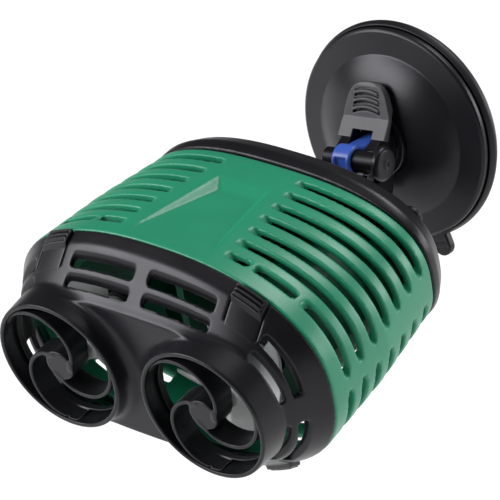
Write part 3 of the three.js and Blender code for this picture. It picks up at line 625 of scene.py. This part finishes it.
def impeller_field(hand):
    def field(x, y, z, step):
        r = ring_r(x, z)
        angle = np.arctan2(z, x)
        along = np.clip((y - BLADES[0]) / (BLADES[1] - BLADES[0]), 0, 1)
        solid = smax(r - IMPELLER_HUB_R, slab(y, *IMPELLER_HUB), 0.6)
        for k in range(4):
            middle = k * math.pi / 2 + 0.4 + hand * (along - 0.5) * BLADE_TURN
            away = (angle - middle + math.pi) % (2 * math.pi) - math.pi
            sheet = np.abs(away) * r * 0.8 - BLADE_HALF
            tip = BLADE_R - 3.0 * np.clip((y - 20) / 4, 0, 1) ** 2
            blade = smax(smax(sheet, slab(y, *BLADES), 0.4), r - tip, 0.5)
            solid = smin(solid, blade, 1.2)
        return smax(solid, IMPELLER_BORE_R - r, 0.3)
    return field


# ---------------------------------------------------------------- lever and stem
AXLE = -29.5
PIN_R = 3.0
HANDLE = [(-22.8, 4.1), (-19.0, 9.3), (-16.9, 18.5), (-16.2, 19.6), (-14.6, 19.1), (-15.7, 11.4),
          (-17.4, 9.2), (-20.7, 3.2)]
LEG = [(-22.8, 4.1), (-20.4, 6.6), (-17.5, 6.3), (-17.5, 0), (-25.2, -4.2), (-29.5, -4.6), (-32.6, -3.4),
       (-31, -1.4), (-27, -1.2), (-26.4, 2)]
LEVER_FRONT = [(-8.5, -6), (-8.5, 8.8), (-7.4, 12.8), (-6.4, 16.1), (-4.7, 18.3), (-2.4, 19.4), (0, 19.6),
               (2.4, 19.4), (4.7, 18.3), (6.4, 16.1), (7.4, 12.8), (8.5, 8.8), (8.5, -6)]
GRIPS = (16.2, 13.9, 11.6)  # heights of the grip ribs
GRIP_BOW = 0.045
GRIP_HALF = 4.4
GRIP_GROOVES = ((0.85, 0.42, 1.1), (-0.62, 0.2, 0.5))  # distance from the rib, half width, depth
NOTCH_HALF, NOTCH_TOP = 3.6, 6.1
LEG_X = (3.5, 7.2)
STEM_HALF = 3.2
EYE_R = 4.4
BORE_CLEARANCE = 0.15


def lever_field(x, y, z, step):
    side = polygon(HANDLE, y, z)
    outline = polygon(fillet(LEVER_FRONT, 3.0), x, z)
    plate = smax(side + 0.15, outline, 0.4) - 0.1
    for k, at in enumerate(GRIPS):
        arc = at + 0.8 - GRIP_BOW * x * x
        length = np.abs(x) - GRIP_HALF - 0.25 * k
        for drop, half, deep in GRIP_GROOVES:
            groove = smax(np.abs(z - arc + drop) - half, length, 0.3)
            plate = smax(plate, -np.maximum(groove, -side - deep), 0.1)
        plate = smin(plate, smax(side - 0.5, smax(np.abs(z - arc) - 0.42, length + 0.1, 0.3), 0.3), 0.1)
    notch = most(np.abs(x) - NOTCH_HALF, 2.0 - z, z - NOTCH_TOP, -24.5 - y, y + 16.6)
    return smax(plate, -notch, 0.3)


def leg_field(x, y, z, step):
    legs = smax(polygon(LEG, y, z) + 0.2, slab(np.abs(x), *LEG_X), 0.6) - 0.05
    return smax(legs, PIN_R + 0.2 - np.sqrt((y - AXLE) ** 2 + z * z), 0.3)


def stem_field(x, y, z, step):
    eye_r = np.sqrt((y - AXLE) ** 2 + z * z)
    width = np.abs(x) - STEM_HALF
    strap = smax(smax(width, np.abs(z) - 2.9, 0.8), slab(y, AXLE, -13.6), 0.5)
    eye = smax(eye_r - EYE_R, width, 0.7)
    solid = smin(strap, eye, 1.0)
    pad = most(np.abs(x) - 1.9, np.abs(z + 0.2) - 1.8, y + 32.9)
    solid = smax(solid, -pad, 0.5)
    post = smax(ring_r(x, z) - np.interp(y, [-14.2, -8, -6], [3, 3, 5]), slab(y, -14.4, -5), 0.4)
    foot = smax(ring_r(x, z) - 6, slab(y, -6.2, -4.6), 0.3)
    solid = smin(solid, smin(post, foot, 0.5), 0.5)
    return smax(solid, PIN_R + BORE_CLEARANCE - eye_r, 0.3)


# ---------------------------------------------------------------- swivel ring and arm
TILT = (-25.0, -14.6)
TILT_EYE = 4.6
TILT_HOLE_R = 1.75
RING_R, RING_BORE_R = 10.2, 7.9
RING_Y = (-16.6, -12.5)
EAR_X = (3.4, 6.2)
EAR = [(-15.2, -6.5), (-15.2, -12.6), (-16.5, -16.5), (-25.0, -19.2), (-25.0, -10.0), (-18.4, -6.5)]


def swivel_field(x, y, z, step):
    r = ring_r(x, z)
    ring = smax(smax(r - RING_R, RING_BORE_R - r, 0.3), slab(y, *RING_Y), 0.5)
    eye_r = np.sqrt((y - TILT[0]) ** 2 + (z - TILT[1]) ** 2)
    ears = smax(smin(polygon(EAR, y, z), eye_r - TILT_EYE, 0.8), slab(np.abs(x), *EAR_X), 0.5)
    solid = smin(ring, ears, 0.9)
    solid = smax(solid, RING_BORE_R - r, 0.2)
    return smax(solid, TILT_HOLE_R - eye_r, 0.3)


ARM_Y = 88.6
FLANGE_R = 12.5
FLANGE_THICK = 2.6
ARM_HALF = 3.1
ARM_SCREW = (8.5, 3)
ARM_SCREW_HOLE_R = 1.9


def tilt_in_pump():
    point = PUMP.inverted() @ Vector((0, *TILT))
    return point.y, point.z


def arm_field(x, y, z, step):
    ty, tz = tilt_in_pump()
    flange = smax(ring_r(x, z) - FLANGE_R, slab(y, ARM_Y, ARM_Y + FLANGE_THICK), 0.7)
    root = smax(ring_r(x, z, 0, tz / 2) - np.interp(y, [ARM_Y + 2, ARM_Y + 8], [7.5, 5]),
                slab(y, ARM_Y + 1, ARM_Y + 8), 0.8)
    neck = polygon([(ARM_Y + 1, -9.5), (ARM_Y + 1, 4), (ARM_Y + 9, 0.5), (ty, tz + TILT_EYE),
                    (ty, tz - TILT_EYE)], y, z)
    eye_r = np.sqrt((y - ty) ** 2 + (z - tz) ** 2)
    blade = smax(smin(neck, eye_r - TILT_EYE, 0.6), np.abs(x) - ARM_HALF, 0.6)
    solid = smin(smin(flange, root, 1.5), blade, 1.5)
    solid = smax(solid, TILT_HOLE_R - eye_r, 0.3)
    for side in (-1, 1):
        solid = smax(solid, ARM_SCREW_HOLE_R - ring_r(x, z, side * ARM_SCREW[0], ARM_SCREW[1]), 0.3)
    return solid


# ---------------------------------------------------------------- building the pump
CORNER_SIGNS = (("top_left", -1, 1), ("top_right", 1, 1), ("bottom_left", -1, -1), ("bottom_right", 1, -1))
place("green_shell_fine", mesh_of(shell_field, (-54.8, 22.3, -35.9), (54.8, 76.9, 35.9), 0.56), PUMP,
      "pump", GREEN, ["green_shell"], limit=92000)
place("front_cover_fine", mesh_of(front_field, (-54.8, 0, -35.9), (54.8, 21.9, 35.9), 0.42), PUMP,
      "pump", BLACK, ["front_cover"], limit=97000)
place("rear_cover_fine", mesh_of(rear_field, (-50, 77.3, -27.4), (50, 88.3, 27.4), 0.6), PUMP,
      "pump", BLACK, ["rear_cover"], limit=80000)
latch = mesh_of(latch_field, (28.6, 12, 17), (38.8, 21.6, 34), 0.26)
for corner, sx, sz in CORNER_SIGNS:
    verts = latch[0] * np.array([sx, 1, sz])
    quads = latch[1] if sx * sz > 0 else latch[1][:, ::-1]
    place(f"latch_{corner}_fine", (verts, quads), PUMP, f"latch_{corner}", BLACK,
          [f"latch_{corner}"])
guard = mesh_of(guard_field, (-19.4, 0.5, -19.4), (19.4, 8, 19.4), 0.3)
for hand, side in (("left", -1), ("right", 1)):
    place(f"outlet_guard_{hand}_fine", (moved(guard[0], side * OUTLET_X), guard[1]), PUMP, "pump",
          BLACK, [f"outlet_guard_{hand}"])
    blades = mesh_of(impeller_field(side), (-17.4, 10.5, -17.4), (17.4, 28.6, 17.4), 0.42)
    place(f"impeller_{hand}_fine", (moved(blades[0], side * OUTLET_X), blades[1]), PUMP,
          f"impeller_{hand}", WHITE, [f"impeller_{hand}"])
place("mount_arm_fine", mesh_of(arm_field, (-12.6, 88, -14), (12.6, 114, 13), 0.32), PUMP, "pump",
      BLACK, ["mount_arm"])


HEAD = 1.7
SHANK_R = 1.4
CROSS_HALF = 0.42
CROSS_REACH = 0.62  # of the head's radius


def crosshead(name, x, z, seat, head_r, start):
    """A cross-head screw along Y, its head resting on the seat."""
    def field(px, py, pz, step):
        r = ring_r(px, pz)
        head = smax(r - head_r, slab(py, seat, seat + HEAD), 0.5)
        shank = smax(r - SHANK_R, slab(py, start, seat + 0.3), 0.3)
        cross = np.minimum(most(np.abs(px) - CROSS_HALF, np.abs(pz) - head_r * CROSS_REACH),
                           most(np.abs(pz) - CROSS_HALF, np.abs(px) - head_r * CROSS_REACH))
        deep = np.maximum(cross, seat + HEAD * 0.35 + r * 0.35 - py)
        return smax(smin(head, shank, 0.2), -deep, 0.15)
    low, high = (-head_r, start, -head_r), (head_r, seat + HEAD, head_r)
    verts, quads = mesh_of(field, low, high, 0.2)
    place(name + "_fine", (moved(verts, x, 0, z), quads), PUMP, "pump", DARK_STEEL, [name])


for corner, sx, sz in CORNER_SIGNS:
    crosshead(f"rear_screw_{corner}", sx * SCREW_X, sz * SCREW_Z, seat=ARM_Y, head_r=3.2, start=67.2)
for hand, side in (("left", -1), ("right", 1)):
    crosshead(f"arm_screw_{hand}", side * ARM_SCREW[0], ARM_SCREW[1], seat=ARM_Y + 2.9, head_r=2.8,
              start=ARM_Y + 0.3)

GLAND_PROFILE = [(2.6, 83), (6, 83), (6, 84.2), (4.2, 84.2), (4.2, 88.6), (6, 88.6), (6, 90.3),
                 (4.9, 93.2), (4.2, 97), (2.6, 97), (2.6, 83)]
lathe("cable_gland_fine", GLAND_PROFILE, PUMP, "pump", RUBBER, ["cable_gland"],
      at=(GLAND[0], 0, GLAND[1]), radius=0.5,
      ripple=lambda a, r, y: 0.16 * math.cos(18 * a) if r > 5.5 and y > 88.9 else 0)

# ---------------------------------------------------------------- building the cup
PAD = [(0, 0), (32, 0), (32.6, -0.3), (34, -2.5), (34, -3.4), (33.5, -4.6), (33.1, -5.0), (31.7, -3.4),
       (12, -3.4), (9.5, -6.8), (6.8, -6.8), (6.8, -1.2), (0, -1.2)]
lathe("suction_pad_disc", PAD, CUP, "cup", RUBBER, ["suction_pad"], segments=180, radius=0.6)

TAB_TURN = math.radians(17.3)
TAB_HALF, TAB_END = 3.1, 37.2
TAB_DENTS = (-37.8, -35.8)


def tab_field(x, y, z, step):
    outline = smax(np.abs(x) - TAB_HALF, -TAB_END - z, 0.1)
    outline = np.minimum(smax(outline, z + 31.5, 0.1), ring_r(x, z, 0, -TAB_END) - TAB_HALF)
    solid = smax(outline, slab(y, -4.4, -1.6), 0.7)
    dents = np.minimum(np.abs(z - TAB_DENTS[0]), np.abs(z - TAB_DENTS[1])) - 0.35
    return smax(solid, -most(dents, np.abs(x) - 2.0, y + 4.1), 0.3)


place("suction_pad_tab", mesh_of(tab_field, (-3.1, -4.4, -40.3), (3.1, -1.6, -31.5), 0.25),
      CUP @ Matrix.Rotation(-TAB_TURN, 4, "Y"), "cup", RUBBER)
DOME = [(12.9 + t, -14.3 + 0.2 * t + 0.0203 * t * t * (t > 0)) for t in np.linspace(-2.4, 12.4, 18)]
COVER = [(4.7, -15.4), (4.7, -16.9), (5.4, -17.0), (7.6, -15.8), (7.6, -12.2), (10.5, -12.2), *DOME,
         (31.9, -7.5), (32.7, -6.9), (32.7, -5.3), (31.7, -3.7), (24.3, -3.7), (23, -7.2), (20, -9.2),
         (16, -10.2), (7, -10.2), (6.2, -15.4), (4.7, -15.4)]
lathe("cup_cover_fine", COVER, CUP, "cup", BLACK, ["cup_cover"], segments=180,
      radius=0.3)
place("stem_fine", mesh_of(stem_field, (-6, -34, -6), (6, -4.6, 6), 0.26), CUP, "stem",
      BLUE, ["stem"])
place("lever_fine", mesh_of(lever_field, (-8.6, -23, 3), (8.6, -14.2, 19.8), 0.17), CUP, "lever",
      GREY, ["lever"])
# The legs are the same grey plastic as the lever's plate, drawn in black as painted shade.
place("lever_legs_painted_shade", mesh_of(leg_field, (-7.3, -32.7, -4.7), (7.3, -17.3, 6.7), 0.24), CUP, "lever",
      BLACK)
lathe("lever_pin_fine", [(0, -7.9), (PIN_R - 0.4, -7.9), (PIN_R, -7.5), (PIN_R, 11.2), (PIN_R - 0.4, 11.6),
                         (0, 11.6)], CUP, "stem", DARK_STEEL, ["lever_pin"], at=(0, AXLE, 0),
      along_x=True, segments=64, radius=0.3)
lathe("lever_pin_cap_fine", [(0, 11.9), (5.1, 11.9), (5.1, 13.1), (4.2, 13.9), (1.3, 13.9), (0.9, 13.6),
                             (0, 13.6)], CUP, "stem", BLACK, ["lever_pin_cap"],
      at=(0, AXLE, 0), along_x=True, segments=64, radius=0.4)
place("swivel_ring_fine", mesh_of(swivel_field, (-10.3, -30, -19.4), (10.3, -12.4, 10.3), 0.28), ROW,
      "swivel", BLACK, ["swivel_ring"])
lathe("tilt_screw_fine", [(0, -8.4), (1.3, -8.4), (1.6, -8.1), (1.6, 6.5), (3, 6.5), (3, 7.7), (2.4, 8.4),
                          (1.3, 8.4), (1.2, 7.4), (0, 7.3)], ROW, "swivel", STEEL, ["tilt_screw"],
      at=(0, TILT[0], TILT[1]), along_x=True, segments=48, radius=0.3)


def nut_field(x, y, z, step):
    across = 1e-9 * y * z
    for k in range(3):
        a = k * math.pi / 3
        across = np.maximum(across, np.abs(y * math.cos(a) + z * math.sin(a)))
    solid = smax(smax(across - 2.68, slab(x, -8.4, -6.5), 0.3), np.sqrt(y * y + z * z) - 3.1, 0.5)
    return smax(solid, TILT_HOLE_R - np.sqrt(y * y + z * z), 0.3)


nut = mesh_of(nut_field, (-8.4, -3.1, -3.1), (-6.5, 3.1, 3.1), 0.18)
place("tilt_nut_fine", (moved(nut[0], 0, *TILT), nut[1]), ROW, "swivel", STEEL, ["tilt_nut"])

# ---------------------------------------------------------------- pieces kept from the CAD
# The motor cans take the darker inside green, which is painted shade.
KEPT = {"motor_can": SHADED_INNER_GREEN, "stator_core": IRON, "coil_upper": COPPER, "coil_lower": COPPER,
        "potting": RESIN, "shaft": CERAMIC, "front_bush": RUBBER, "rear_bush": RUBBER,
        "rotor_magnet": FERRITE}


def keep(node, material, bevel=0.0003):
    obj = NODES[node]
    obj.data.materials.clear()
    obj.data.materials.append(material)
    mod = obj.modifiers.new("edges", "BEVEL")
    mod.width = bevel
    mod.segments = 2
    mod.limit_method = "ANGLE"
    mod.angle_limit = math.radians(35)


for stem_name, material in KEPT.items():
    for hand in ("left", "right"):
        keep(f"{stem_name}_{hand}", material)
# The motor plate also takes the darker inside green, painted shade.
keep("motor_plate", SHADED_INNER_GREEN)

# ---------------------------------------------------------------- floor, light and camera
LOW, HIGH = (np.array(corner) for corner in CAD_BOX)
FLOOR_DROP = 0.12
FLOOR_Z = LOW[2] - FLOOR_DROP


def stage_material():
    material = bpy.data.materials.new("pale_stage")
    material.use_nodes = True
    shader = material.node_tree.nodes["Principled BSDF"]
    shader.inputs["Base Color"].default_value = (0.93, 0.93, 0.93, 1)
    shader.inputs["Roughness"].default_value = 0.9
    shader.inputs["Specular IOR Level"].default_value = 0.1
    shader.inputs["Emission Color"].default_value = (1, 1, 1, 1)
    shader.inputs["Emission Strength"].default_value = 0.1
    return material


def sweep(name, size, rise, material):
    """A floor that curves up into a backdrop on every side."""
    verts, faces = [], []
    rings, segments = 24, 64
    for i in range(rings + 1):
        t = i / rings
        r = size * min(1.0, t * 1.5)
        z = FLOOR_Z + rise * max(0.0, (t - 0.62) / 0.38) ** 2
        for k in range(segments):
            a = 2 * math.pi * k / segments
            verts.append((r * math.cos(a), r * math.sin(a), z))
    for i in range(rings):
        for k in range(segments):
            m = (k + 1) % segments
            one, two = i * segments, (i + 1) * segments
            faces.append((one + k, one + m, two + m, two + k))
    data = bpy.data.meshes.new(name)
    data.from_pydata(verts, [], faces)
    data.shade_smooth()
    data.materials.append(material)
    obj = bpy.data.objects.new(name, data)
    bpy.context.scene.collection.objects.link(obj)


sweep("studio_floor", 7.0, 0.5, stage_material())


def soft_light(name, place_at, look_at, size, power, colour=(1, 1, 1)):
    data = bpy.data.lights.new(name, "AREA")
    data.shape = "RECTANGLE"
    data.size, data.size_y = size
    data.energy = power
    data.color = colour
    obj = bpy.data.objects.new(name, data)
    obj.location = place_at
    aim = Vector(look_at) - Vector(place_at)
    obj.rotation_euler = aim.to_track_quat("-Z", "Y").to_euler()
    bpy.context.scene.collection.objects.link(obj)


MIDDLE = tuple((LOW + HIGH) / 2)
soft_light("key", (-1.25, -1.6, 0.9), MIDDLE, (2.0, 0.9), 56)
soft_light("overhead", (-0.1, -0.5, 2.2), MIDDLE, (1.4, 1.0), 3)
soft_light("rear_top", (0.25, 1.05, 1.8), MIDDLE, (1.0, 0.8), 24)
soft_light("right_side", (1.65, 1.85, 0.6), MIDDLE, (1.4, 1.0), 30)

world = bpy.data.worlds.new("studio_air")
world.use_nodes = True
world.node_tree.nodes["Background"].inputs["Color"].default_value = (1, 1, 1, 1)
world.node_tree.nodes["Background"].inputs["Strength"].default_value = 0.08
bpy.context.scene.world = world
bpy.context.scene.view_settings.view_transform = "Standard"

CAMERA = {"azimuth": 37.9, "elevation": 25.52, "roll": -1.17,  # degrees
          "distance": 1070.8, "aside": 33.51, "above": 39.12,  # millimetres from the pump's origin
          "lens": 278.96, "sensor": 36}
az, el, roll = (math.radians(CAMERA[k]) for k in ("azimuth", "elevation", "roll"))
back = Vector((math.sin(az) * math.cos(el), -math.cos(az) * math.cos(el), math.sin(el)))
right = Vector((math.cos(az), math.sin(az), 0))
up = back.cross(right)
right, up = (right * math.cos(roll) + up * math.sin(roll), up * math.cos(roll) - right * math.sin(roll))
eye = PUMP_ORIGIN + back * CAMERA["distance"] + right * CAMERA["aside"] + up * CAMERA["above"]
lens = bpy.data.cameras.new("camera")
lens.sensor_width = CAMERA["sensor"]
lens.lens = CAMERA["lens"]
lens.clip_end = 50
camera = bpy.data.objects.new("camera", lens)
camera.matrix_world = Matrix.Translation(eye * MM) @ Matrix((right, up, back)).transposed().to_4x4()
bpy.context.scene.collection.objects.link(camera)
bpy.context.scene.camera = camera

bpy.context.view_layer.update()
